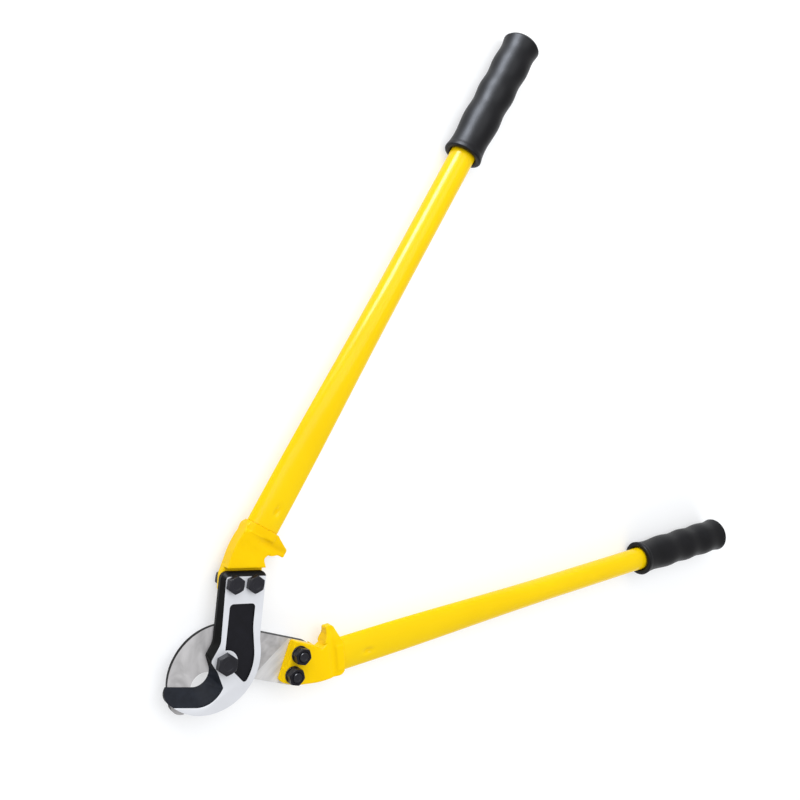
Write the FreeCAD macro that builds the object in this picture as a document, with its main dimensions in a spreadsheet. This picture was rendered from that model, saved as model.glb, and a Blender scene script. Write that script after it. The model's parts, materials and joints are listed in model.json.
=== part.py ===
"""Long-arm cable cutter: two crossed arms on one pivot bolt.

Both arms are the same assembly.  An arm is a steel blade bolted to a forged socket, a steel tube
pressed over the socket's tang, and a rubber grip.  The second arm is the first one turned half a
turn about the X axis, so the two blades lie face to face at the mid-plane.

Frame: the origin is on the pivot's axis, on the plane that the cutter lies on.  +Z is up along the
pivot, +X runs along the middle line between the handles, and +Y is on the hook arm's side.
Arm frame: x runs along the tube, y points away from the other arm, z = 0 is the mid-plane.
"""
import math
import os

import FreeCAD
import Part
import Sketcher
from FreeCAD import Placement, Rotation, Vector

doc = FreeCAD.newDocument("cable_cutter")

# ----------------------------------------------------------------------------------------------
# Driving dimensions, in millimetres and degrees
# ----------------------------------------------------------------------------------------------
SIZES = [
    ("arm_angle", 26.36, "each tube's angle from the middle line, at rest"),
    ("half_gap", 0.05, "half the running gap between the blades"),
    ("blade_thick", 9.0, "blade thickness"),
    ("rim_radius", 53.3, "round back of the blade"),
    ("panel_rim", 46.3, "round edge of the sunk panel"),
    ("panel_depth", 1.5, "sunk panel on the blade's outer face"),
    ("boss_radius", 12.8, "flat seat round the pivot"),
    ("pivot_radius", 6.0, "M12 pivot bolt shank"),
    ("pivot_play", 0.05, "play of the pivot bolt in the blades, on the radius"),
    ("pivot_flats", 19.0, "M12 hexagon across flats"),
    ("pivot_head", 7.5, "M12 head height"),
    ("pivot_nut", 8.0, "M12 nut height"),
    ("pivot_washer", 2.5, "M12 washer thickness"),
    ("pivot_washer_radius", 12.0, "M12 washer radius"),
    ("bolt_radius", 5.0, "M10 fixing bolt shank"),
    ("bolt_hole_radius", 5.2, "hole for the M10 bolts"),
    ("bolt_flats", 16.0, "M10 hexagon across flats"),
    ("bolt_head", 6.4, "M10 head height"),
    ("bolt_nut", 8.0, "M10 nut height"),
    ("spring_washer", 2.2, "spring washer thickness"),
    ("spring_washer_radius", 9.0, "spring washer outer radius"),
    ("thread_end", 1.3, "fixing bolt's end that stands out of its nut"),
    ("pivot_end", 1.9, "pivot bolt's end that stands out of its nut"),
    ("bolt_along", 77.7, "fixing bolts' place along the blade's shank"),
    ("bolt_across", -11.25, "middle of the fixing bolts, across the shank"),
    ("bolt_spacing", 21.1, "spacing of the two fixing bolts"),
    ("plate_thick", 9.0, "socket plate under the blade"),
    ("socket_top", 8.0, "socket body's upper face above the mid-plane"),
    ("lug_half", 4.8, "half thickness of the stop lug"),
    ("lug_root_half", 6.5, "half thickness of the lug's root"),
    ("collar_half", 10.0, "half height of the collar"),
    ("collar_wide", 19.3, "half width of the collar"),
    ("plate_start", 66.4, "end of the socket's plate, along the shank"),
    ("plate_slope", 3.0, "how far the plate's end leans back at its outer face"),
    ("collar_start", 122.0, "where the collar starts, along the arm"),
    ("tube_start", 131.0, "where the tube butts on the collar"),
    ("tube_offset", 30.9, "tube axis from the arm's middle line"),
    ("tube_radius", 14.0, "round part of the tube"),
    ("tube_wall", 1.8, "tube wall"),
    ("oval_wide", 18.3, "half width of the flattened tube end"),
    ("oval_high", 7.5, "half height of the flattened tube end"),
    ("oval_end", 175.0, "end of the flattened length, and of the tang inside it"),
    ("round_start", 430.0, "where the tube is round"),
    ("tube_end", 729.0, "end of the tube inside the grip"),
    ("tang_play", 0.05, "play between the tang and the tube"),
    ("grip_start", 581.3, "open end of the grip"),
    ("grip_end", 735.5, "closed end of the grip"),
    ("grip_play", 0.05, "play between the tube and the grip"),
]

sheet = doc.addObject("Spreadsheet::Sheet", "sizes")
for row, (name, value, note) in enumerate(SIZES, start=1):
    sheet.set("A%d" % row, str(value))
    sheet.setAlias("A%d" % row, name)
    sheet.set("B%d" % row, note)
doc.recompute()


def size(name):
    """The plain number in the cell with this alias."""
    return float(sheet.get(name))


def bind(thing, prop, formula):
    """Ties a property or a named sketch constraint to the spreadsheet."""
    thing.setExpression(prop, formula)


# ----------------------------------------------------------------------------------------------
# Plane geometry: polygons with rounded corners
# ----------------------------------------------------------------------------------------------
SHANK_ANGLE = math.radians(25.5)      # the blade's shank runs at this angle to the tube
RIM_CENTRE = (-3.7, 16.4)             # centre of the blade's round back
HEX_TURN = 22.0                       # how far the hexagons are turned in the arm frame
CHAMFER_SEAT = 0.97                   # round face left by a hexagon's chamfer, against its flats
SHORTEST_LINE = 0.1                   # arcs closer than this are joined end to end
SMALLEST_CUT = 0.01                   # a pocket takes away more than this, mm3
BLADE_FACE = "sizes.half_gap + sizes.blade_thick"


def shank(along, across):
    """A point given along and across the blade's shank, in the arm frame."""
    cos_a, sin_a = math.cos(SHANK_ANGLE), math.sin(SHANK_ANGLE)
    return (along * cos_a - across * sin_a, along * sin_a + across * cos_a)


def polar(centre, radius, degrees):
    """A point on a circle."""
    turn = math.radians(degrees)
    return (centre[0] + radius * math.cos(turn), centre[1] + radius * math.sin(turn))


def corner(point, radius=0.0):
    """A polygon corner that is rounded to a radius."""
    return (point[0], point[1], radius)


def round_corners(centre, radius, first, last, count, fillet=None):
    """Corners of a polygon whose sides touch a circle between two angles of contact."""
    step = (last - first) / count
    reach = radius / math.cos(math.radians(step / 2))
    rounding = radius if fillet is None else fillet
    return [corner(polar(centre, reach, first + step * (i + 0.5)), rounding) for i in range(count)]


def outline(corners):
    """Lines and arcs of a closed polygon with rounded corners."""
    count = len(corners)
    joints = []
    for i, (x, y, radius) in enumerate(corners):
        here = Vector(x, y, 0)
        back = (Vector(*corners[i - 1][:2], 0) - here).normalize()
        ahead = (Vector(*corners[(i + 1) % count][:2], 0) - here).normalize()
        if radius <= 0:
            joints.append([here, None, here])
            continue
        half = back.getAngle(ahead) / 2
        reach = radius / math.tan(half)
        middle = (back + ahead).normalize() * (radius / math.sin(half) - radius)
        joints.append([here + back * reach, here + middle, here + ahead * reach])
    for i in range(count):
        end = joints[i][2]
        following = joints[(i + 1) % count]
        if following[1] is not None and end.distanceToPoint(following[0]) < SHORTEST_LINE:
            following[0] = end
    edges = []
    for i, (start, middle, end) in enumerate(joints):
        if middle is not None:
            edges.append(Part.Arc(start, middle, end))
        following = joints[(i + 1) % count][0]
        if end.distanceToPoint(following) > 0:
            edges.append(Part.LineSegment(end, following))
    return edges


# ----------------------------------------------------------------------------------------------
# Document helpers
# ----------------------------------------------------------------------------------------------
def new_body(label):
    """An empty PartDesign body for one piece."""
    body = doc.addObject("PartDesign::Body", label)
    body.Label = label
    return body


def sketch_on(body, role, edges, offset=None):
    """A sketch on one of the body's origin planes, lifted along the plane's normal."""
    sketch = body.newObject("Sketcher::SketchObject", "sketch")
    plane = next(item for item in body.Origin.OriginFeatures if item.Role == role)
    sketch.AttachmentSupport = [(plane, "")]
    sketch.MapMode = "FlatFace"
    if offset is not None:
        bind(sketch, "AttachmentOffset.Base.z", offset)
    sketch.addGeometry(edges, False)
    return sketch


def circles_on(body, places, formula):
    """A sketch of equal circles whose radius comes from the spreadsheet."""
    ring = [Part.Circle(Vector(x, y, 0), Vector(0, 0, 1), 1.0) for x, y in places]
    sketch = sketch_on(body, "XY_Plane", ring)
    for i, (x, y) in enumerate(places):
        sketch.addConstraint(Sketcher.Constraint("DistanceX", -1, 1, i, 3, x))
        sketch.addConstraint(Sketcher.Constraint("DistanceY", -1, 1, i, 3, y))
        number = sketch.addConstraint(Sketcher.Constraint("Radius", i, 1.0))
        sketch.renameConstraint(number, "radius%d" % i)
        bind(sketch, "Constraints.radius%d" % i, formula)
    return sketch


def pad(body, sketch, length, down=False):
    """Adds the sketch's shape over a length from the spreadsheet."""
    feature = body.newObject("PartDesign::Pad", "pad")
    feature.Profile = sketch
    feature.Reversed = down
    bind(feature, "Length", length)
    return feature


def pocket(body, sketch, length=None, up=False):
    """Cuts the sketch's shape, to a depth or through everything, and checks that it cut."""
    doc.recompute()
    before = body.Shape.Volume
    feature = body.newObject("PartDesign::Pocket", "pocket")
    feature.Profile = sketch
    feature.Reversed = up
    if length is None:
        feature.Type = "ThroughAll"
        feature.Midplane = True
    else:
        bind(feature, "Length", length)
    doc.recompute()
    if body.Shape.Volume > before - SMALLEST_CUT:
        raise RuntimeError("%s: a pocket cut nothing" % body.Label)
    return feature


def hexagon(body, flats):
    """A sketch of a regular hexagon, its size across flats bound to the spreadsheet."""
    reach = size(flats) / math.sqrt(3)
    tips = [Vector(*polar((0, 0), reach, 60 * i), 0) for i in range(6)]
    sides = [Part.LineSegment(tips[i], tips[(i + 1) % 6]) for i in range(6)]
    sketch = sketch_on(body, "XY_Plane", sides)
    around = Part.Circle(Vector(0, 0, 0), Vector(0, 0, 1), reach)
    circle = sketch.addGeometry(around, True)
    sketch.addConstraint(Sketcher.Constraint("Coincident", circle, 3, -1, 1))
    for i in range(6):
        sketch.addConstraint(Sketcher.Constraint("Coincident", i, 2, (i + 1) % 6, 1))
        sketch.addConstraint(Sketcher.Constraint("PointOnObject", i, 1, circle))
        if i:
            sketch.addConstraint(Sketcher.Constraint("Equal", 0, i))
    sketch.addConstraint(Sketcher.Constraint("PointOnObject", 0, 1, -1))
    number = sketch.addConstraint(Sketcher.Constraint("Radius", circle, reach))
    sketch.renameConstraint(number, "reach")
    bind(sketch, "Constraints.reach", "sizes.%s / sqrt(3)" % flats)
    return sketch


def chamfer_hexagon(body, flats, level, inward):
    """Turns the hexagon's corners down to a cone at one end; inward is +1 or -1 along Z."""
    reach = size(flats) / math.sqrt(3) + 1.0
    seat = CHAMFER_SEAT * size(flats) / 2
    drop = inward * (reach - seat) * math.tan(math.radians(30))
    points = [(seat, level), (reach, level + drop), (reach, level)]
    sketch = sketch_on(body, "XZ_Plane", outline([corner(point) for point in points]))
    groove = body.newObject("PartDesign::Groove", "chamfer")
    groove.Profile = sketch
    groove.ReferenceAxis = (sketch, ["V_Axis"])
    groove.Angle = 360.0


# ----------------------------------------------------------------------------------------------
# Blade
# ----------------------------------------------------------------------------------------------
def mouth_section(lower):
    """The ground blank at the inner face (lower) or the outer face, wider than the outline.

    Between the two faces the walls are straight: the cutting bevel in the mouth and a narrow
    bevel along the inner side and the end.
    """
    if lower:
        mouth = [(-46.8, 52.0, 0), (-31.7, 10.3, 14.2), (-22.0, 5.82, 14.2), (-12.54, 7.49, 14.2)]
        side = [(2.3, 23.6, 6), (12.1, 23.6, 20), corner(shank(92.6, 16.1), 7)]
        end = [corner(shank(92.6, -39))]
    else:
        mouth = [(-62.8, 46.3, 0), (-42.6, -10.6, 25), (-21.8, -10.6, 1.5), (-10.8, 3.0, 15)]
        side = [(-4.6, 15.0, 4), (14.5, 14.7, 15), corner(shank(85, 8.5), 3)]
        end = [corner(shank(85, -38))]
    return outline(mouth + side + end + [(10.0, -60.0, 0), (-60.0, -60.0, 0), (-75.0, 0.0, 0)])


def back_section(lower):
    """What is ground off behind the blade: it starts at half its height and fades at the tail."""
    rim = size("rim_radius") + (4.2 if lower else -4.0)
    back = round_corners(RIM_CENTRE, rim, 295, 143, 4, 0.93 * rim)
    start = corner(shank(92.6, -39) if lower else shank(85, -38))
    beak = (-61.8, 46.3, 0) if lower else (-62.8, 46.3, 0)
    far = [(-63.0, 60.0, 0), (-95.0, 60.0, 0), (-95.0, -75.0, 0), (115.0, -75.0, 0)]
    return outline([start] + back[:-1] + [corner(back[-1], 15), beak] + far)


def blade_outline():
    """The blade seen along the pivot: jaw, round back, shank and end."""
    jaw = [(-9.0, 12.3, 1), (-24.0, 28.0, 1), (-34.0, 41.6, 1), (-54.0, 41.6, 12)]
    back = round_corners(RIM_CENTRE, size("rim_radius"), 172, 308, 4)
    tail = [(35.8, -20.4, 60), corner(shank(88.8, -33.8), 3), corner(shank(88.8, 12.3), 7)]
    return outline(jaw + back + tail + [(12.5, 19.6, 20), (-2.35, 19.6, 6)])


def panel_outline():
    """The sunk panel: round the pivot's seat, along the back and along the shank."""
    seat = size("boss_radius")
    upper, lower = shank(58, 1.7), shank(58, -25.3)
    start, end = polar((0, 0), seat, 33.5), polar((0, 0), seat, 248.5 - 360)
    boss = round_corners((0, 0), seat, 33.5, 248.5 - 360, 3)
    back = round_corners(RIM_CENTRE, size("panel_rim"), 268, 305, 2)
    near_end = [(42.6, -7.7, 60), corner(lower, 4), corner(upper, 4)]
    return outline([corner(start)] + boss + [corner(end), (-4.5, -13.0, 1), (-10.0, -30.0, 3)]
                   + back + near_end)


def bolt_places():
    """Centres of the two fixing bolts, in the arm frame."""
    along, middle = size("bolt_along"), size("bolt_across")
    return [shank(along, middle + side * size("bolt_spacing") / 2) for side in (1, -1)]


def ruled_loft(body, kind, section):
    """A loft with straight walls between the blade's inner and outer face."""
    feature = body.newObject(kind, "loft")
    feature.Profile = sketch_on(body, "XY_Plane", section(True), "sizes.half_gap")
    feature.Sections = [sketch_on(body, "XY_Plane", section(False), BLADE_FACE)]
    feature.Ruled = True


WASTE = 200.0                         # the blank is trimmed out to this distance


def make_blade(label, bevelled_back):
    body = new_body(label)
    ruled_loft(body, "PartDesign::AdditiveLoft", mouth_section)
    frame = [(x * WASTE, y * WASTE, 0) for x, y in ((-1, -1), (1, -1), (1, 1), (-1, 1))]
    pocket(body, sketch_on(body, "XY_Plane", outline(frame) + blade_outline()))
    if bevelled_back:
        ruled_loft(body, "PartDesign::SubtractiveLoft", back_section)
    pocket(body, sketch_on(body, "XY_Plane", panel_outline(), BLADE_FACE), "sizes.panel_depth")
    pocket(body, circles_on(body, [(0, 0)], "sizes.pivot_radius + sizes.pivot_play"))
    pocket(body, circles_on(body, bolt_places(), "sizes.bolt_hole_radius"))
    return body


# ----------------------------------------------------------------------------------------------
# Socket
# ----------------------------------------------------------------------------------------------
def socket_outline():
    """The forging seen along the pivot, from the plate under the blade to the collar."""
    plate = [corner(shank(size("plate_start"), -34), 3), (98.5, 10.0, 1.5), (104.8, 16.5, 3),
             (112.0, 12.0, 4)]
    collar = [(size("tube_start"), 12.0, 2), (size("tube_start"), 50.4, 6)]
    back = [(100.0, 50.6, 80), (72.0, 45.5, 15), corner(shank(size("plate_start"), 9.3), 3)]
    return outline(plate + collar + back)


def lug_outline():
    """The stop lug that meets the other arm's lug when the cutter is shut."""
    foot = [(108.5, 14.0, 0), (113.8, 3.0, 6), (114.0, -4.6, 1.5), (122.5, -4.6, 4)]
    return outline(foot + [(129.5, 12.0, 0), (129.5, 20.0, 0), (108.5, 20.0, 0)])


def lug_root_outline():
    """The thicker root of the lug, where it swells into the socket's body."""
    foot = [(109.5, 12.0, 0), (112.3, 5.5, 5), (126.0, 5.5, 5), (129.3, 12.0, 0)]
    return outline(foot + [(129.3, 20.0, 0), (109.5, 20.0, 0)])


def section_at(body, station, edges):
    """A sketch across the arm at a distance along it, y to the right and z up."""
    sketch = sketch_on(body, "YZ_Plane", edges)
    sketch.AttachmentOffset = Placement(Vector(0, 0, station), Rotation())
    return sketch


def oval_at(body, station, wide, high):
    """An ellipse across the arm with its centre on the tube's axis."""
    centre = Vector(size("tube_offset"), 0, 0)
    return section_at(body, station, [Part.Ellipse(centre, wide, high)])


# The seat that the blade's tail lies in, along and across the shank
BLADE_SEAT = [(92.5, -60), (92.5, 40), (40, 40), (40, -60)]


def make_socket(label):
    body = new_body(label)
    floor = sketch_on(body, "XY_Plane", socket_outline(), "-sizes.plate_thick")
    pad(body, floor, "sizes.plate_thick + sizes.socket_top")
    lug = sketch_on(body, "XY_Plane", lug_outline(), "-sizes.lug_half")
    pad(body, lug, "2 * sizes.lug_half")
    root = sketch_on(body, "XY_Plane", lug_root_outline(), "-sizes.lug_root_half")
    pad(body, root, "2 * sizes.lug_root_half")
    seat = [corner(shank(along, across)) for along, across in BLADE_SEAT]
    seat_sketch = sketch_on(body, "XY_Plane", outline(seat), "sizes.half_gap")
    pocket(body, seat_sketch, "sizes.socket_top", up=True)
    slope_plate_end(body)
    pad(body, collar_section(body), "sizes.tube_start - sizes.collar_start")
    inset = size("tube_wall") + size("tang_play")
    tang = oval_at(body, size("tube_start"), size("oval_wide") - inset, size("oval_high") - inset)
    pad(body, tang, "sizes.oval_end - sizes.tube_start")
    pocket(body, circles_on(body, bolt_places(), "sizes.bolt_hole_radius"))
    return body


COLLAR_ENDS = 8.5                     # rounding of the collar's ends


def slope_plate_end(body):
    """Leans the end face of the plate back, from the blade's side to the outer face."""
    top, bottom, over = size("half_gap"), -size("plate_thick"), 4.0
    near, far = size("plate_start"), size("plate_start") + size("plate_slope")
    wedge = [(near, top), (far, bottom), (far, bottom - over), (near - over, bottom - over),
             (near - over, top)]
    sketch = sketch_on(body, "XZ_Plane", outline([corner(point) for point in wedge]))
    turn = Rotation(Vector(0, 1, 0), math.degrees(SHANK_ANGLE))
    sketch.AttachmentOffset = Placement(Vector(0, 0, 0), turn)
    pocket(body, sketch)


def collar_section(body):
    """The collar's section: a flat oval with round ends."""
    wide, high, middle = size("collar_wide"), size("collar_half"), size("tube_offset")
    box = [(middle + x * wide, y * high, COLLAR_ENDS) for x, y in ((-1, -1), (1, -1), (1, 1), (-1, 1))]
    return section_at(body, size("collar_start"), outline(box))


# ----------------------------------------------------------------------------------------------
# Tube
# ----------------------------------------------------------------------------------------------
TUBE_STATIONS = 8                     # sections of the stretch where the oval turns round
NEARLY_ROUND = 0.0005                 # the last oval is this much wider than high


def tube_section(share):
    """Half width and half height of the tube, from the oval (0) to the round (1)."""
    ease = share * share * (3 - 2 * share)
    wide = size("oval_wide") + ease * (size("tube_radius") - size("oval_wide"))
    high = size("oval_high") + ease * (size("tube_radius") - size("oval_high"))
    return wide, high


def tube_loft(body, kind, inset):
    """A loft through ovals: straight along the tang, then easing into the round tube."""
    start, first, last = size("tube_start"), size("oval_end"), size("round_start")
    stations = [(start, 0.0), ((start + first) / 2, 0.0), (first, 0.0)]
    for i in range(1, TUBE_STATIONS + 1):
        stations.append((first + (last - first) * i / TUBE_STATIONS, i / TUBE_STATIONS))
    sketches = []
    for station, share in stations:
        wide, high = tube_section(share)
        if share == 1.0:
            wide = high + NEARLY_ROUND
        sketches.append(oval_at(body, station, wide - inset, high - inset))
    feature = body.newObject(kind, "loft")
    feature.Profile = sketches[0]
    feature.Sections = sketches[1:]


def make_tube(label):
    body = new_body(label)
    tube_loft(body, "PartDesign::AdditiveLoft", 0.0)
    doc.recompute()
    tube_loft(body, "PartDesign::SubtractiveLoft", size("tube_wall"))
    radii = (size("tube_radius"), size("tube_radius") - size("tube_wall"))
    axis = Vector(size("tube_offset"), 0, 0)
    rings = [Part.Circle(axis, Vector(0, 0, 1), radius) for radius in radii]
    pad(body, section_at(body, size("round_start"), rings), "sizes.tube_end - sizes.round_start")
    return body


# ----------------------------------------------------------------------------------------------
# Grip
# ----------------------------------------------------------------------------------------------
# Distance behind the open end, and radius: the rolled rim, then three swells for the fingers.
GRIP_PROFILE = [(1.5, 21.5), (4.5, 21.1), (9.5, 20.1), (22.7, 19.4), (46.7, 21.0), (66.7, 19.6),
                (85.2, 21.0), (102.7, 19.7), (120.7, 21.05), (138.2, 19.95), (150.2, 21.4)]


END_BEVEL = 3.0                       # bevel round the closed end, on the radius
RIM_BEVEL = 1.2                       # bevel of the rolled rim, and clearance of its mouth
# The mouth narrows to the bore between these distances behind the open end
MOUTH = (2.0, 5.0)


def make_grip(label):
    body = new_body(label)
    start, end = size("grip_start"), size("grip_end")
    bore = size("tube_radius") + size("grip_play")
    bottom = size("tube_end") + size("grip_play")
    profile = [(start + along, radius) for along, radius in GRIP_PROFILE]
    skin = Part.BSplineCurve()
    skin.interpolate([Vector(*point, 0) for point in profile])
    closed_end = [profile[-1], (end, profile[-1][1] - END_BEVEL), (end, 0), (bottom, 0)]
    open_end = [(bottom, bore), (start + MOUTH[1], bore), (start + MOUTH[0], bore + RIM_BEVEL),
                (start, bore + RIM_BEVEL), (start, profile[0][1] - RIM_BEVEL), profile[0]]
    loop = [Vector(*point, 0) for point in closed_end + open_end]
    edges = [skin] + [Part.LineSegment(a, b) for a, b in zip(loop, loop[1:])]
    sketch = sketch_on(body, "XY_Plane", edges)
    turn = body.newObject("PartDesign::Revolution", "turn")
    turn.Profile = sketch
    turn.ReferenceAxis = (sketch, ["H_Axis"])
    turn.Angle = 360.0
    return body


# ----------------------------------------------------------------------------------------------
# Fasteners, each along its own Z axis
# ----------------------------------------------------------------------------------------------
def make_bolt(label, flats, head, radius, length):
    """A hexagon bolt: the head stands on z = 0 and the shank points down."""
    body = new_body(label)
    pad(body, hexagon(body, flats), "sizes." + head)
    chamfer_hexagon(body, flats, size(head), -1)
    pad(body, circles_on(body, [(0, 0)], "sizes." + radius), length, down=True)
    return body


def make_nut(label, flats, height, radius):
    """A hexagon nut that stands on z = 0 and fills the space downwards."""
    body = new_body(label)
    pad(body, hexagon(body, flats), "sizes." + height, down=True)
    chamfer_hexagon(body, flats, -size(height), 1)
    pocket(body, circles_on(body, [(0, 0)], "sizes." + radius))
    return body


def make_washer(label, height, outer, bore, split=False):
    """A washer below z = 0; a spring washer has a slanted split."""
    body = new_body(label)
    pad(body, circles_on(body, [(0, 0)], "sizes." + outer), "sizes." + height, down=True)
    pocket(body, circles_on(body, [(0, 0)], bore))
    if split:
        over = 0.5
        low = -size(height) - over
        slit = [(-1.6, over, 0), (-0.6, over, 0), (1.6, low, 0), (0.6, low, 0)]
        pocket(body, sketch_on(body, "XZ_Plane", outline(slit)), "sizes." + outer, up=True)
    return body


# ----------------------------------------------------------------------------------------------
# Assembly
# ----------------------------------------------------------------------------------------------
blade_face = size("half_gap") + size("blade_thick")
washer_top = -blade_face - size("half_gap")
mid_plane = size("pivot_washer") + size("pivot_nut") + size("pivot_end") - washer_top
lift = Placement(Vector(0, 0, mid_plane), Rotation())
turned = Placement(Vector(0, 0, 0), Rotation(Vector(0, 0, 1), size("arm_angle")))
flipped = Placement(Vector(0, 0, 0), Rotation(Vector(1, 0, 0), 180))
hex_turn = Rotation(Vector(0, 0, 1), HEX_TURN)

# Each arm's place, and whether the back of its blade is bevelled on the outer half
ARMS = {"hook": (lift * turned, False), "sickle": (lift * flipped * turned, True)}

pieces = []


def put(body, place):
    body.Placement = place
    pieces.append(body)


SHANK_LENGTH = ("sizes.half_gap + sizes.blade_thick + sizes.plate_thick + sizes.spring_washer"
                " + sizes.bolt_nut + sizes.thread_end")
for arm, (place, bevelled_back) in ARMS.items():
    put(make_blade(arm + "_blade", bevelled_back), place)
    put(make_socket(arm + "_socket"), place)
    put(make_tube(arm + "_tube"), place)
    axis_shift = Placement(Vector(0, size("tube_offset"), 0), Rotation())
    put(make_grip(arm + "_grip"), place * axis_shift)
    back = -size("plate_thick")
    for number, (x, y) in enumerate(bolt_places(), start=1):
        mark = "_%d" % number
        put(make_bolt(arm + "_bolt" + mark, "bolt_flats", "bolt_head", "bolt_radius", SHANK_LENGTH),
            place * Placement(Vector(x, y, blade_face), hex_turn))
        put(make_washer(arm + "_spring_washer" + mark, "spring_washer", "spring_washer_radius",
                        "sizes.bolt_hole_radius", split=True),
            place * Placement(Vector(x, y, back), hex_turn))
        put(make_nut(arm + "_nut" + mark, "bolt_flats", "bolt_nut", "bolt_radius"),
            place * Placement(Vector(x, y, back - size("spring_washer")), hex_turn))

PIVOT_LENGTH = ("3 * sizes.half_gap + 2 * sizes.blade_thick + sizes.pivot_washer"
                " + sizes.pivot_nut + sizes.pivot_end")
put(make_bolt("pivot_bolt", "pivot_flats", "pivot_head", "pivot_radius", PIVOT_LENGTH),
    lift * turned * Placement(Vector(0, 0, blade_face), hex_turn))
put(make_washer("pivot_washer", "pivot_washer", "pivot_washer_radius",
                "sizes.pivot_radius + sizes.pivot_play"),
    lift * Placement(Vector(0, 0, washer_top), Rotation()))
put(make_nut("pivot_nut", "pivot_flats", "pivot_nut", "pivot_radius"),
    lift * turned * Placement(Vector(0, 0, washer_top - size("pivot_washer")), hex_turn))

doc.recompute()

# ----------------------------------------------------------------------------------------------
# Checks, then one STEP file for each piece
# ----------------------------------------------------------------------------------------------
for item in doc.Objects:
    if "Invalid" in item.State or "Error" in item.State:
        raise RuntimeError("%s failed: %s" % (item.Name, item.State))
for body in pieces:
    shape = body.Shape
    if shape.isNull() or not shape.isValid() or len(shape.Solids) != 1:
        raise RuntimeError("%s has no valid solid" % body.Label)

os.makedirs("parts", exist_ok=True)
for body in pieces:
    body.Shape.exportStep("parts/%s.step" % body.Label)
    box = body.Shape.BoundBox
    print("%-24s %8.0f mm3   x %7.1f %7.1f   y %7.1f %7.1f   z %6.2f %6.2f" % (
        body.Label, body.Shape.Volume, box.XMin, box.XMax, box.YMin, box.YMax, box.ZMin, box.ZMax))
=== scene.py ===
"""Looks of the long-arm cable cutter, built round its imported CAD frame.  Metres, +Z up."""
import bmesh
import bpy
import json
import math
from mathutils import Euler, Matrix, Vector


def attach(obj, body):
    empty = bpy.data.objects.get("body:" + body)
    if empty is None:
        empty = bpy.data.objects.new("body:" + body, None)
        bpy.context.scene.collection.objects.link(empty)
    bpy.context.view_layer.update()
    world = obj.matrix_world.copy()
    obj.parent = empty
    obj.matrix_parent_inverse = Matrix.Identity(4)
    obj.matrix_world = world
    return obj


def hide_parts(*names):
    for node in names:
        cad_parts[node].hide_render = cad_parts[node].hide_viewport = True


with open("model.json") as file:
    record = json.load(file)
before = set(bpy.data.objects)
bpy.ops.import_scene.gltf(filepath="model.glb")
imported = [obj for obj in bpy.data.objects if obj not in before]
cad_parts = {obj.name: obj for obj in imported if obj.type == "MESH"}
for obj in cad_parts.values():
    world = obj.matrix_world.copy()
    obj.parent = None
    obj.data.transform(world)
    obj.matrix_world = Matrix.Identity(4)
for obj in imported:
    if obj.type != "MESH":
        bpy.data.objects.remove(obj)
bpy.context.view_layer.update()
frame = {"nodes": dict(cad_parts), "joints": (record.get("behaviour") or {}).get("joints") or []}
nodes = frame["nodes"]
MM = 0.001

# ----------------------------------------------------------------------------------------------
# Frame facts.  In the arm frame, X runs along the tube, Y is 0 on the line through the pivot and
# Z is 0 on the plane between the blades.
# ----------------------------------------------------------------------------------------------
MID = frame["joints"][0]["pos_m"][2]          # height of the plane between the blades
ARM_ANGLE = math.radians(26.36)               # each tube's angle from the middle line
TUBE_OFFSET = 30.9 * MM                       # tube axis from the line through the pivot
ARMS = {
    "hook": Matrix.Translation((0, 0, MID)) @ Matrix.Rotation(ARM_ANGLE, 4, "Z"),
    "sickle": (Matrix.Translation((0, 0, MID)) @ Matrix.Rotation(math.pi, 4, "X")
               @ Matrix.Rotation(ARM_ANGLE, 4, "Z")),
}
BODY = {"hook": "hook_arm", "sickle": "sickle_arm"}

# ----------------------------------------------------------------------------------------------
# Materials
# ----------------------------------------------------------------------------------------------
NOISE_SPAN = (0.3, 0.7)                       # most of a noise's values lie between these


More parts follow.
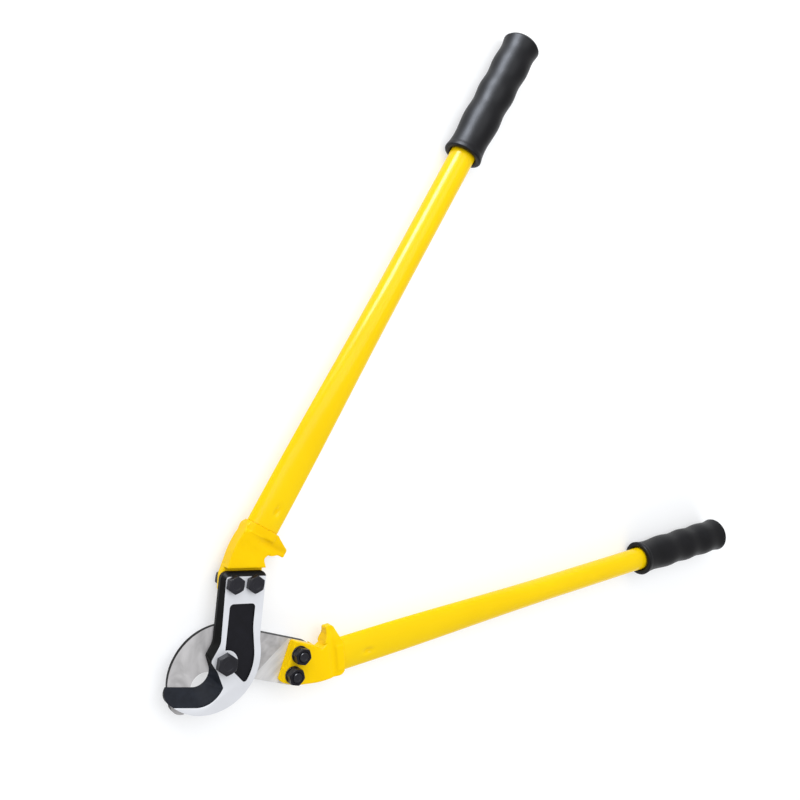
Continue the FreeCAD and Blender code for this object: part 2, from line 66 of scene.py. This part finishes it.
class Nodes:
    """A short way to wire a procedural material."""

    def __init__(self, name):
        self.material = bpy.data.materials.new(name)
        self.material.use_nodes = True
        self.tree = self.material.node_tree
        self.shader = self.tree.nodes["Principled BSDF"]
        self.place = self.add("ShaderNodeTexCoord").outputs["Object"]

    def add(self, kind, vector_type=None, **values):
        """A new node with these values on its inputs."""
        node = self.tree.nodes.new(kind)
        if vector_type is not None:
            node.vector_type = vector_type
        for socket, value in values.items():
            node.inputs[socket].default_value = value
        return node

    def link(self, source, socket):
        """Feeds a socket; a name means that socket of the shader."""
        target = self.shader.inputs[socket] if isinstance(socket, str) else socket
        self.tree.links.new(source, target)

    def fix(self, socket, value):
        """Sets a shader socket that is the same all over the surface."""
        self.shader.inputs[socket].default_value = value

    def noise(self, scale, detail, rough=0.5, swirl=0.0, streak=None):
        """Noise with this many lumps to a metre; a streak is (direction, length by width)."""
        noise = self.add("ShaderNodeTexNoise", Scale=scale, Detail=detail, Roughness=rough,
                         Distortion=swirl)
        place = self.place
        if streak is not None:
            direction, longer = streak
            mapping = self.add("ShaderNodeMapping", vector_type="TEXTURE",
                               Rotation=(0, 0, direction), Scale=(longer, 1, 1))
            self.link(self.place, mapping.inputs["Vector"])
            place = mapping.outputs["Vector"]
        self.link(place, noise.inputs["Vector"])
        return noise.outputs["Fac"]

    def tones(self, source, low, high):
        """A colour that runs from low to high over the noise's usual values."""
        ramp = self.add("ShaderNodeValToRGB")
        for element, position, colour in zip(ramp.color_ramp.elements, NOISE_SPAN, (low, high)):
            element.position = position
            element.color = (*colour, 1.0)
        self.link(source, ramp.inputs["Fac"])
        return ramp.outputs["Color"]

    def bump(self, source, strength, height, onto=None):
        """Relief of this height in metres, added to the relief that it is given."""
        bump = self.add("ShaderNodeBump", Strength=strength, Distance=height)
        self.link(source, bump.inputs["Height"])
        if onto is not None:
            self.link(onto, bump.inputs["Normal"])
        return bump.outputs["Normal"]

    def spread(self, source, low, high):
        """A number that runs from low at 0 to high at 1."""
        scaled = self.add("ShaderNodeMapRange")
        scaled.inputs["To Min"].default_value = low
        scaled.inputs["To Max"].default_value = high
        self.link(source, scaled.inputs["Value"])
        return scaled.outputs["Result"]


def yellow_paint(name, low, high, grain, gloss):
    """Yellow stove paint; with more grain it keeps some of a forging's rough skin."""
    made = Nodes(name)
    made.link(made.tones(made.noise(14.0, detail=3.0), low, high), "Base Color")
    gloss_patches = made.noise(60.0, detail=2.0)
    made.link(made.spread(gloss_patches, 0.14 + 0.10 * grain, 0.24 + 0.12 * grain), "Roughness")
    peel = made.bump(made.noise(700.0, detail=2.0), strength=0.05 + 0.10 * grain, height=0.4 * MM)
    lumps = made.noise(160.0, detail=4.0, rough=0.6)
    skin_relief = made.bump(lumps, strength=0.04 + 0.5 * grain, height=0.8 * MM, onto=peel)
    made.link(skin_relief, "Normal")
    made.fix("Specular IOR Level", gloss)
    return made.material


def rubber():
    """Smooth moulded rubber, a little greyer in patches."""
    made = Nodes("grip_rubber")
    dark, grey = (0.0030, 0.0028, 0.0032), (0.0048, 0.0046, 0.0056)
    made.link(made.tones(made.noise(40.0, detail=5.0), dark, grey), "Base Color")
    made.link(made.spread(made.noise(90.0, detail=3.0), 0.38, 0.50), "Roughness")
    grain = made.noise(1800.0, detail=3.0)
    made.link(made.bump(grain, strength=0.12, height=0.2 * MM), "Normal")
    made.fix("Specular IOR Level", 0.21)
    made.fix("Specular Tint", (0.93, 0.95, 1.0, 1.0))
    return made.material


def ground_steel(name, tone, angle, contrast=0.14, swirl=0.0, longer=1.0):
    """Steel ground in one direction: fine scratches over slow changes of tone."""
    made = Nodes(name)
    scratch = made.noise(1500.0, detail=4.0, rough=0.6, streak=(angle, 25.0))
    cloud = made.noise(22.0 * longer, detail=3.0, swirl=swirl, streak=(angle, longer))
    low = tuple((1 - contrast) * c for c in tone)
    made.link(made.tones(cloud, low, tone), "Base Color")
    made.fix("Metallic", 0.45)
    made.link(made.spread(scratch, 0.30, 0.52), "Roughness")
    made.link(made.bump(scratch, strength=0.10, height=0.2 * MM), "Normal")
    return made.material


def black_steel(name, tone, smooth, rough, grain, gloss=0.28):
    """Blackened steel, cloudy in tone and in roughness."""
    made = Nodes(name)
    cloud = made.noise(120.0, detail=5.0, rough=0.6)
    low = tuple(0.6 * c for c in tone)
    made.link(made.tones(cloud, low, tone), "Base Color")
    made.link(made.spread(cloud, smooth, rough), "Roughness")
    pits = made.noise(900.0, detail=4.0)
    made.link(made.bump(pits, strength=grain, height=0.3 * MM), "Normal")
    made.fix("Specular IOR Level", gloss)
    return made.material


TUBE_PAINT = yellow_paint("yellow_paint_tube", (0.82, 0.550, 0.001), (0.85, 0.585, 0.002),
                          grain=0.0, gloss=0.15)
FORGED_PAINT = yellow_paint("yellow_paint_forged", (0.82, 0.50, 0.0), (0.90, 0.59, 0.0),
                            grain=1.0, gloss=0.09)
RUBBER = rubber()
FACE_GRIND, TAIL_GRIND = math.radians(60), math.radians(7)    # directions at rest, from +X
BRIGHT = ground_steel("ground_face", (0.84, 0.86, 0.91), FACE_GRIND)
INNER = ground_steel("ground_inner_face", (0.61, 0.60, 0.61), FACE_GRIND,
                     contrast=0.34, swirl=2.5, longer=1.6)
TAIL = ground_steel("ground_tail_face", (0.78, 0.78, 0.79), TAIL_GRIND,
                    contrast=0.26, swirl=0.6, longer=7.0)
BEVEL = black_steel("black_bevel", (0.015, 0.018, 0.026), 0.42, 0.52, grain=0.05, gloss=0.11)
PANEL = black_steel("black_panel", (0.006, 0.006, 0.010), 0.45, 0.60, grain=0.60, gloss=0.20)
WALL = black_steel("black_wall", (0.006, 0.006, 0.006), 0.40, 0.55, grain=0.20, gloss=0.12)
FASTENER = black_steel("black_oxide", (0.016, 0.016, 0.022), 0.26, 0.38, grain=0.10)
NUT_STEEL = black_steel("black_nut", (0.010, 0.009, 0.014), 0.24, 0.36, grain=0.10, gloss=0.20)

# ----------------------------------------------------------------------------------------------
# Building helpers
# ----------------------------------------------------------------------------------------------
WELD = 2e-6                                   # corners this close become one, in metres
FLAT = math.radians(0.5)                      # faces that meet at less than this become one


def share_between(value, start, end):
    """0 before the start, 1 after the end, easing between them."""
    share = min(max((value - start) / (end - start), 0.0), 1.0)
    return share * share * (3 - 2 * share)


def new_object(name, mesh):
    piece = bpy.data.objects.new(name, mesh)
    bpy.context.scene.collection.objects.link(piece)
    return piece


def copy_of(node, name):
    """A welded copy of a CAD node's mesh, with its flat faces whole again."""
    mesh = nodes[node].data.copy()
    mesh.materials.clear()
    work = bmesh.new()
    work.from_mesh(mesh)
    bmesh.ops.remove_doubles(work, verts=work.verts, dist=WELD)
    bmesh.ops.dissolve_limit(work, angle_limit=FLAT, verts=work.verts, edges=work.edges)
    work.to_mesh(mesh)
    work.free()
    if "custom_normal" in mesh.attributes:
        mesh.attributes.remove(mesh.attributes["custom_normal"])
    return new_object(name, mesh)


def skin(name, rows, place, capped=True):
    """Closed rings of points in millimetres, joined one to the next by quads.

    The end rings are filled, or if it isn't capped, joined to each other.
    """
    work = bmesh.new()
    rings = [[work.verts.new(place @ (Vector(point) * MM)) for point in row] for row in rows]
    count = len(rings[0])
    pairs = list(zip(rings, rings[1:]))
    if not capped:
        pairs.append((rings[-1], rings[0]))
    for lower, upper in pairs:
        for i in range(count):
            j = (i + 1) % count
            work.faces.new((lower[i], lower[j], upper[j], upper[i]))
    if capped:
        work.faces.new(list(reversed(rings[0])))
        work.faces.new(rings[-1])
    bmesh.ops.recalc_face_normals(work, faces=work.faces)
    mesh = bpy.data.meshes.new(name)
    work.to_mesh(mesh)
    work.free()
    return new_object(name, mesh)


def turns(count):
    return [2 * math.pi * i / count for i in range(count)]


def round_row(radius, height, count):
    return [(radius * math.cos(a), radius * math.sin(a), height) for a in turns(count)]


def soften(piece, width, angle=30.0, slot=-1):
    """Rounds the edges sharper than the angle; slot is the rounding's own material."""
    bevel = piece.modifiers.new("edges", "BEVEL")
    bevel.width = width
    bevel.segments = 2
    bevel.limit_method = "ANGLE"
    bevel.angle_limit = math.radians(angle)
    bevel.harden_normals = True
    bevel.material = slot
    piece.data.shade_smooth()


def apply_modifiers(piece):
    graph = bpy.context.evaluated_depsgraph_get()
    mesh = bpy.data.meshes.new_from_object(piece.evaluated_get(graph))
    piece.modifiers.clear()
    piece.data = mesh


def settle(piece, body, node, slot, *materials):
    """Gives a finished piece its materials and its body, and hides the CAD node it stands for."""
    for material in materials:
        piece.data.materials.append(material)
    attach(piece, body)
    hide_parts(node)


# ----------------------------------------------------------------------------------------------
# Blades
# ----------------------------------------------------------------------------------------------
BLADE_FACE, INNER_FACE = 9.05 * MM, 0.05 * MM     # both faces, above the mid-plane
MOUTH_END = -8.0 * MM                         # the cutting bevel ends here, along the arm
NEAR = 0.1 * MM                               # a face this near to a level lies on it
STEEP, LEVEL = 0.2, 0.99                      # how squarely walls and flat faces look up or down
EDGE_ROUND = 0.45 * MM
# On the inner face the grinding changes direction along this line
GRIND_START = Vector((72, -2, 0)) * MM
GRIND_ALONG = (Vector((36, 22, 0)) * MM - GRIND_START).normalized()
# A blade's material slots, in the order of its list of materials
ON_FACE, ON_BEVEL, ON_PANEL, ON_INNER, ON_TAIL, ON_WALL = range(6)
BLADE_STEELS = [BRIGHT, BEVEL, PANEL, INNER, TAIL, WALL]


def split_inner_face(piece, to_arm):
    """Splits the inner face along the line where the grinding changes."""
    work = bmesh.new()
    work.from_mesh(piece.data)
    from_arm = to_arm.inverted()
    turn = to_arm.to_3x3()
    inner = [f for f in work.faces if abs((turn @ f.normal).z) > LEVEL
             and abs((to_arm @ f.calc_center_median()).z - INNER_FACE) < NEAR]
    geometry = inner + list({e for f in inner for e in f.edges})
    geometry += list({v for f in inner for v in f.verts})
    across = from_arm.to_3x3() @ GRIND_ALONG.cross(Vector((0, 0, 1)))
    bmesh.ops.bisect_plane(work, geom=geometry, plane_co=from_arm @ GRIND_START, plane_no=across,
                           dist=WELD)
    work.to_mesh(piece.data)
    work.free()


def blade_slot(spot, slope):
    """Which steel a face shows, from its centre and how squarely it faces up or down."""
    if slope < STEEP:
        return ON_WALL
    if slope < LEVEL:
        return ON_WALL if spot.x > MOUTH_END else ON_BEVEL
    if abs(spot.z - BLADE_FACE) < NEAR:
        return ON_FACE
    if abs(spot.z - INNER_FACE) < NEAR:
        return ON_TAIL if GRIND_ALONG.cross(spot - GRIND_START).z < 0 else ON_INNER
    return ON_PANEL


def make_blade(arm):
    """Ground faces bright, cutting bevels, walls and edges black, panel rough and black."""
    node = arm + "_blade"
    piece = copy_of(node, node + "_ground")
    to_arm = ARMS[arm].inverted()
    split_inner_face(piece, to_arm)
    turn = to_arm.to_3x3()
    for face in piece.data.polygons:
        face.material_index = blade_slot(to_arm @ face.center, abs((turn @ face.normal).z))
    soften(piece, EDGE_ROUND, slot=ON_WALL)
    settle(piece, BODY[arm], node, "blade_steel", *BLADE_STEELS)


# ----------------------------------------------------------------------------------------------
# Sockets.  Places and heights are in millimetres in the arm frame.
# ----------------------------------------------------------------------------------------------
PLATE_TOP, PLATE_BOTTOM = 8.0, 9.0            # the body's faces above and below the mid-plane
# The hollow beside the collar: place and half width along the arm, depth, the heights over which
# it fades in, and the stretch across the arm over which it fades out, above and below
GROOVE_AT, GROOVE_WIDE, GROOVE_DEEP = 118.0, 3.2, 1.8
GROOVE_LOW, GROOVE_HIGH = 3.0, 6.0
GROOVE_FADES = {1: (20.0, 44.0), -1: (46.0, 60.0)}
# The stop lug: its stretch along the arm, where it leaves the body, its tip, the half thickness
# of the CAD lug and of the forged tip, and the height above which a point is on its flat face
LUG_START, LUG_END, LUG_FOOT, LUG_TIP = 108.0, 131.5, 12.2, -5.0
LUG_HALF, TIP_HALF, LUG_FACE = 4.8, 5.6, 4.4
# On the outer side the body's upper face rises gently to the collar instead of stepping up
COLLAR_AT, COLLAR_HALF, RISE_FROM, BODY_FACE = 122.0, 10.0, 102.0, 7.0
RISE_NONE, RISE_FULL = 22.0, 34.0
FORGING_VOXEL = 0.6 * MM
FORGING_SMOOTH = 16


def forged_height(spot):
    """Height over the mid-plane, on either side, that a point of the CAD socket gets."""
    high = abs(spot.z)
    side = 1 if spot.z > 0 else -1
    body = PLATE_TOP if side > 0 else PLATE_BOTTOM
    if LUG_START < spot.x < LUG_END and spot.y < LUG_FOOT:
        wanted = TIP_HALF + (body - TIP_HALF) * share_between(spot.y, LUG_TIP, LUG_FOOT)
        high = wanted if high > LUG_FACE else high * wanted / LUG_HALF
    if side > 0 and high > BODY_FACE and RISE_FROM < spot.x < COLLAR_AT:
        rise = share_between(spot.x, RISE_FROM, COLLAR_AT)
        high += (COLLAR_HALF - body) * rise * share_between(spot.y, RISE_NONE, RISE_FULL)
    fade = 1 - share_between(spot.y, *GROOVE_FADES[side])
    fade *= share_between(high, GROOVE_LOW, GROOVE_HIGH)
    return high - GROOVE_DEEP * fade * math.exp(-((spot.x - GROOVE_AT) / GROOVE_WIDE) ** 2)


def forge(piece, place):
    """Runs the stop lug and the collar smoothly out of the socket's body."""
    to_arm = place.inverted()
    for vertex in piece.data.vertices:
        spot = to_arm @ vertex.co / MM
        spot.z = math.copysign(forged_height(spot), spot.z)
        vertex.co = place @ (spot * MM)


def make_socket(arm):
    """The forging: every edge rounded by a fine remesh that is then smoothed."""
    node = arm + "_socket"
    piece = copy_of(node, node + "_forged")
    remesh = piece.modifiers.new("skin", "REMESH")
    remesh.mode = "VOXEL"
    remesh.voxel_size = FORGING_VOXEL
    apply_modifiers(piece)
    forge(piece, ARMS[arm])
    smooth = piece.modifiers.new("smooth", "SMOOTH")
    smooth.factor = 0.5
    smooth.iterations = FORGING_SMOOTH
    apply_modifiers(piece)
    piece.data.shade_smooth()
    settle(piece, BODY[arm], node, "yellow_paint", FORGED_PAINT)


# ----------------------------------------------------------------------------------------------
# Tubes.  Millimetres, along the arm from the pivot and across from the tube's own axis.
# ----------------------------------------------------------------------------------------------
TUBE_START, OVAL_END, ROUND_START, TUBE_END = 131.0, 175.0, 430.0, 729.0
OVAL_WIDE, OVAL_HIGH, TUBE_RADIUS, TUBE_WALL = 18.3, 7.5, 14.0, 1.8
TUBE_STEP, TUBE_SEGMENTS = 6.0, 96
# Pressed marks that hold the tube on the socket's tang: along the arm, off the axis, and the side
STAKES = [(151.0, -2.8, 1), (161.5, 3.4, -1)]
STAKE_LONG, STAKE_WIDE, STAKE_DEEP = 6.0, 3.0, 2.5


def tube_row(along, inset):
    """One ring of the tube: flat oval at the socket, easing into round."""
    ease = share_between(along, OVAL_END, ROUND_START)
    wide = OVAL_WIDE + ease * (TUBE_RADIUS - OVAL_WIDE) - inset
    high = OVAL_HIGH + ease * (TUBE_RADIUS - OVAL_HIGH) - inset
    row = []
    for a in turns(TUBE_SEGMENTS):
        y, z = wide * math.cos(a), high * math.sin(a)
        for stake_x, stake_y, side in STAKES:
            if z * side > 0:
                reach = ((along - stake_x) / STAKE_LONG) ** 2 + ((y - stake_y) / STAKE_WIDE) ** 2
                z -= side * STAKE_DEEP * math.exp(-reach)
        row.append((along, y, z))
    return row


def make_tube(arm):
    """The drawn tube, hollow, with rings 1 mm apart where the pressed marks are."""
    node = arm + "_tube"
    place = ARMS[arm] @ Matrix.Translation((0, TUBE_OFFSET, 0))
    stations = [TUBE_START + i for i in range(int(OVAL_END - TUBE_START))]
    while stations[-1] + TUBE_STEP < TUBE_END:
        stations.append(stations[-1] + TUBE_STEP)
    stations.append(TUBE_END)
    rows = [tube_row(x, 0.0) for x in stations]
    rows += [tube_row(x, TUBE_WALL) for x in reversed(stations)]
    piece = skin(node + "_drawn", rows, place, capped=False)
    soften(piece, 0.7 * MM, angle=60.0)
    settle(piece, BODY[arm], node, "yellow_paint", TUBE_PAINT)


# ----------------------------------------------------------------------------------------------
# Grips.  Each point of a profile is (distance from an end, radius), in millimetres.
# ----------------------------------------------------------------------------------------------
GRIP_START, GRIP_END = 581.3, 735.5           # open and closed end, along the arm
GRIP_SEGMENTS, GRIP_STEPS = 96, 10
BORE = TUBE_RADIUS + 0.05
CENTRE = 0.6                                  # the ring that closes a disc has this radius
# From the open end: its countersunk mouth and rolled rim, and then the swells for the fingers
GRIP_MOUTH = [(3.2, BORE), (1.0, BORE + 1.5), (0.1, BORE + 2.2), (0.0, 18.0), (0.1, 20.2),
              (0.6, 21.1)]
GRIP_SWELLS = [(1.5, 21.5), (4.5, 21.1), (9.5, 20.1), (22.7, 19.4), (46.7, 21.0), (66.7, 19.6),
               (85.2, 21.0), (102.7, 19.7), (120.7, 21.05), (138.2, 19.95), (150.2, 21.4)]
# Back from the closed end: its rounded corner and shallow dish
GRIP_CLOSED = [(3.4, 21.25), (3.0, 20.9), (1.4, 19.7), (0.4, 18.6), (0.0, 17.2), (0.1, 12.6),
               (0.9, 12.0), (1.0, 6.0), (1.0, CENTRE)]


def smooth_profile(points, steps):
    """Points on a Catmull-Rom curve through the given ones."""
    padded = [points[0]] + points + [points[-1]]
    out = []
    for p0, p1, p2, p3 in zip(padded, padded[1:], padded[2:], padded[3:]):
        for i in range(steps):
            t = i / steps
            out.append(tuple(
                0.5 * (2 * b + (c - a) * t + (2 * a - 5 * b + 4 * c - d) * t * t
                       + (3 * b - a - 3 * c + d) * t ** 3)
                for a, b, c, d in zip(p0, p1, p2, p3)))
    out.append(points[-1])
    return out


def make_grip(arm):
    """A turned rubber grip: open rim round the tube, three swells, a rounded closed end."""
    node = arm + "_grip"
    axis = (ARMS[arm] @ Matrix.Translation((0, TUBE_OFFSET, 0))
            @ Matrix.Rotation(math.pi / 2, 4, "Y"))
    bottom, end = TUBE_END + 0.05 - GRIP_START, GRIP_END - GRIP_START
    profile = [(bottom, CENTRE), (bottom, BORE)] + GRIP_MOUTH
    profile += smooth_profile(GRIP_SWELLS, GRIP_STEPS)
    profile += [(end - back, radius) for back, radius in GRIP_CLOSED]
    rows = [round_row(radius, GRIP_START + along, GRIP_SEGMENTS) for along, radius in profile]
    piece = skin(node + "_moulded", rows, axis)
    piece.data.shade_smooth()
    settle(piece, BODY[arm], node, "grip_rubber", RUBBER)


# ----------------------------------------------------------------------------------------------
# Fasteners.  Millimetres; each is made with the face it bears on, or hangs from, at z = 0.
# ----------------------------------------------------------------------------------------------
FIXING_BOLT = {"flats": 16.0, "head": 6.4, "radius": 5.0, "length": 29.55, "pitch": 1.5}
SPRING_WASHER = {"outer": 9.0, "bore": 5.2, "height": 2.2}
FIXING_NUT = {"flats": 16.0, "height": 8.0, "radius": 5.0}
PIVOT_BOLT = {"flats": 19.0, "head": 7.5, "radius": 6.0, "length": 30.55, "pitch": 1.75}
PIVOT_WASHER = {"outer": 12.0, "bore": 6.05, "height": 2.5}
PIVOT_NUT = {"flats": 19.0, "height": 8.0, "radius": 6.0}
BOLT_SEAT = BLADE_FACE / MM                   # the bolt heads bear on the blades' outer faces
PIVOT_WASHER_SEAT = -9.1
HEX_SEGMENTS = 96
HEX_TURN = math.radians(22)
HEX_CHAMFER = math.tan(math.radians(30))
HEX_SEAT = 0.96                               # the chamfer's inner circle, against half the flats
HEX_ROUND = 0.22 * MM
THREAD_TURNS, THREAD_DEPTH = 9, 0.3           # how many turns, and depth against the pitch
END_CHAMFER, END_DROP = 0.9, 0.6              # of the bolt's end, along it and across it
END_RING, END_HOLLOW, END_SUNK = 1.6, 2.0, 0.35   # its ring's and hollow's inset, its depth
HEAD_SUNK, DISH_FLOOR, DISH_RIM = 0.25, 0.55, 0.60    # the head's dish, against the chamfer's circle
DISC_CENTRE = 0.4
COUNTERSINK_DEEP, COUNTERSINK_WIDE = 1.0, 0.7
COIL_STEPS, COIL_GAP, COIL_LIFT, COIL_THIN = 72, math.radians(9), 0.18, 0.1


def ring(radius, height):
    return round_row(radius, height, HEX_SEGMENTS)


def hex_ring(flats, height, inward=0):
    """A hexagon's ring; inward is the way its turned chamfer drops from the end, or 0 for none."""
    row = []
    for a in turns(HEX_SEGMENTS):
        within = a % (math.pi / 3) - math.pi / 6
        radius = flats / 2 / math.cos(within)
        drop = max(0.0, radius - HEX_SEAT * flats / 2) * HEX_CHAMFER
        row.append((radius * math.cos(a), radius * math.sin(a), height + inward * drop))
    return row


def thread_rings(radius, pitch, start, end):
    """Rings of V grooves from start down to end."""
    rows = []
    height = start
    while height - pitch > end:
        rows.append(ring(radius, height))
        rows.append(ring(radius - THREAD_DEPTH * pitch, height - pitch / 2))
        height -= pitch
    rows.append(ring(radius, height))
    rows.append(ring(radius, end))
    return rows


def make_bolt(node, body, place, flats, head, radius, length, pitch):
    """A hexagon bolt: chamfered head with a shallow dish, shank, thread and sunk end."""
    seat = HEX_SEAT * flats / 2
    rows = [ring(DISC_CENTRE, head - HEAD_SUNK), ring(DISH_FLOOR * seat, head - HEAD_SUNK),
            ring(DISH_RIM * seat, head), ring(seat, head),
            hex_ring(flats, head, -1), hex_ring(flats, 0.0), ring(radius, 0.0)]
    rows += thread_rings(radius, pitch, THREAD_TURNS * pitch - length, END_CHAMFER - length)
    rows += [ring(radius - END_DROP, -length), ring(radius - END_RING, -length),
             ring(radius - END_HOLLOW, END_SUNK - length), ring(DISC_CENTRE, END_SUNK - length)]
    piece = skin(node + "_turned", rows, place)
    soften(piece, HEX_ROUND, angle=28.0)
    settle(piece, body, node, "black_oxide", FASTENER)


def make_nut(node, body, place, flats, height, radius):
    """A hexagon nut, chamfered on both ends, with a countersunk bore."""
    seat = HEX_SEAT * flats / 2
    wide = radius + COUNTERSINK_WIDE
    rows = [ring(radius, -COUNTERSINK_DEEP), ring(wide, 0.0), ring(seat, 0.0),
            hex_ring(flats, 0.0, -1), hex_ring(flats, -height, 1),
            ring(seat, -height), ring(wide, -height), ring(radius, COUNTERSINK_DEEP - height)]
    piece = skin(node + "_turned", rows, place, capped=False)
    soften(piece, HEX_ROUND, angle=28.0)
    settle(piece, body, node, "black_oxide", NUT_STEEL)


def make_washer(node, body, place, outer, bore, height):
    rows = [ring(bore, 0.0), ring(outer, 0.0), ring(outer, -height), ring(bore, -height)]
    piece = skin(node + "_stamped", rows, place, capped=False)
    soften(piece, 0.3 * MM)
    settle(piece, body, node, "black_oxide", FASTENER)


def make_spring_washer(node, body, place, outer, bore, height):
    """A split ring whose ends stand a little apart."""
    rows = []
    for i in range(COIL_STEPS + 1):
        along = i / COIL_STEPS
        a = COIL_GAP / 2 + (2 * math.pi - COIL_GAP) * along
        lift = COIL_LIFT * (along - 0.5)
        low, top = COIL_THIN - height, -COIL_THIN
        section = [(bore, low), (outer, low), (outer, top), (bore, top)]
        rows.append([(r * math.cos(a), r * math.sin(a), z + lift) for r, z in section])
    piece = skin(node + "_coiled", rows, place)
    soften(piece, 0.25 * MM)
    settle(piece, body, node, "black_oxide", FASTENER)


# ----------------------------------------------------------------------------------------------
# Assembly
# ----------------------------------------------------------------------------------------------
SHANK = math.radians(25.5)                    # the blade's shank, from the tube's direction
BOLT_ALONG, BOLT_MIDDLE, BOLT_SPACING = 77.7, -11.25, 21.1    # along and across the shank


def bolt_places():
    """Centres of an arm's two fixing bolts, in the arm frame."""
    places = []
    for side in (1, -1):
        across = BOLT_MIDDLE + side * BOLT_SPACING / 2
        places.append((BOLT_ALONG * math.cos(SHANK) - across * math.sin(SHANK),
                       BOLT_ALONG * math.sin(SHANK) + across * math.cos(SHANK)))
    return places


def at(arm, x, y, z):
    return (ARMS[arm] @ Matrix.Translation(Vector((x, y, z)) * MM)
            @ Matrix.Rotation(HEX_TURN, 4, "Z"))


def make_arm(arm, body):
    """Blade, socket, tube and grip, and the two fixing bolts that hold blade and socket."""
    make_blade(arm)
    make_socket(arm)
    make_tube(arm)
    make_grip(arm)
    for number, (x, y) in enumerate(bolt_places(), start=1):
        mark = "_%d" % number
        washer_seat = at(arm, x, y, -PLATE_BOTTOM)
        nut_seat = at(arm, x, y, -PLATE_BOTTOM - SPRING_WASHER["height"])
        make_bolt(arm + "_bolt" + mark, body, at(arm, x, y, BOLT_SEAT), **FIXING_BOLT)
        make_spring_washer(arm + "_spring_washer" + mark, body, washer_seat, **SPRING_WASHER)
        make_nut(arm + "_nut" + mark, body, nut_seat, **FIXING_NUT)


def make_pivot(body):
    nut_seat = PIVOT_WASHER_SEAT - PIVOT_WASHER["height"]
    make_bolt("pivot_bolt", body, at("hook", 0, 0, BOLT_SEAT), **PIVOT_BOLT)
    make_washer("pivot_washer", body, at("hook", 0, 0, PIVOT_WASHER_SEAT), **PIVOT_WASHER)
    make_nut("pivot_nut", body, at("hook", 0, 0, nut_seat), **PIVOT_NUT)


for arm, body in BODY.items():
    make_arm(arm, body)
make_pivot(BODY["hook"])

# ----------------------------------------------------------------------------------------------
# Floor, light and camera
# ----------------------------------------------------------------------------------------------
scene = bpy.context.scene
CAMERA_PLACE = (-0.1332, 0.4895, 0.8579 + MID)
CAMERA_TURN = (-6.061, -33.760, -30.706)      # degrees about X, Y and Z
LENS = 43.73


def make_floor():
    """A white ground, bright enough that only the shadows close to the cutter stay."""
    bpy.ops.mesh.primitive_plane_add(size=60.0, location=(0.3, 0, -0.0002))
    floor = bpy.context.object
    floor.name = "floor"
    made = Nodes("floor_white")
    made.fix("Base Color", (0.57, 0.582, 0.60, 1))
    made.fix("Roughness", 0.9)
    made.fix("Specular IOR Level", 0.0)
    made.fix("Emission Color", (1, 1, 1, 1))
    made.fix("Emission Strength", 0.44)
    floor.data.materials.append(made.material)


def area_light(name, place, target, size, power):
    data = bpy.data.lights.new(name, "AREA")
    data.shape = "RECTANGLE"
    data.size, data.size_y = size
    data.energy = power
    light = bpy.data.objects.new(name, data)
    light.location = place
    light.rotation_euler = (Vector(target) - Vector(place)).to_track_quat("-Z", "Y").to_euler()
    scene.collection.objects.link(light)
    return light


def make_light():
    """Even white surroundings, a box on the +Y side and one overhead.

    A distant box on the -Y side fills the undersides without a reflection, and a low one on the
    +Y side is only a reflection: the long glints on the tubes and grips.
    """
    world = bpy.data.worlds.new("studio")
    world.use_nodes = True
    background = world.node_tree.nodes["Background"]
    background.inputs["Color"].default_value = (1.0, 1.0, 1.0, 1)
    background.inputs["Strength"].default_value = 0.60
    scene.world = world
    area_light("side_box", (0.60, 1.75, 0.72), (0.45, 0.25, 0.02), (1.4, 1.1), power=16)
    area_light("top_box", (0.55, 0.65, 1.6), (0.25, 0, 0), (1.3, 1.3), power=14)
    fill = area_light("fill_box", (0.40, -3.00, 1.30), (0.30, -0.10, 0.0), (2.5, 1.5), power=29)
    fill.visible_glossy = False
    glint = area_light("glint_box", (0.55, 2.0, 0.45), (0.45, 0.25, 0.10), (1.1, 0.8), power=100)
    glint.visible_diffuse = False
    glint.data.color = (0.87, 0.92, 1.0)


def make_camera():
    data = bpy.data.cameras.new("camera")
    data.lens = LENS
    camera = bpy.data.objects.new("camera", data)
    camera.location = CAMERA_PLACE
    camera.rotation_euler = Euler([math.radians(a) for a in CAMERA_TURN], "XYZ")
    scene.collection.objects.link(camera)
    scene.camera = camera


make_floor()
make_light()
make_camera()
scene.view_settings.view_transform = "Standard"
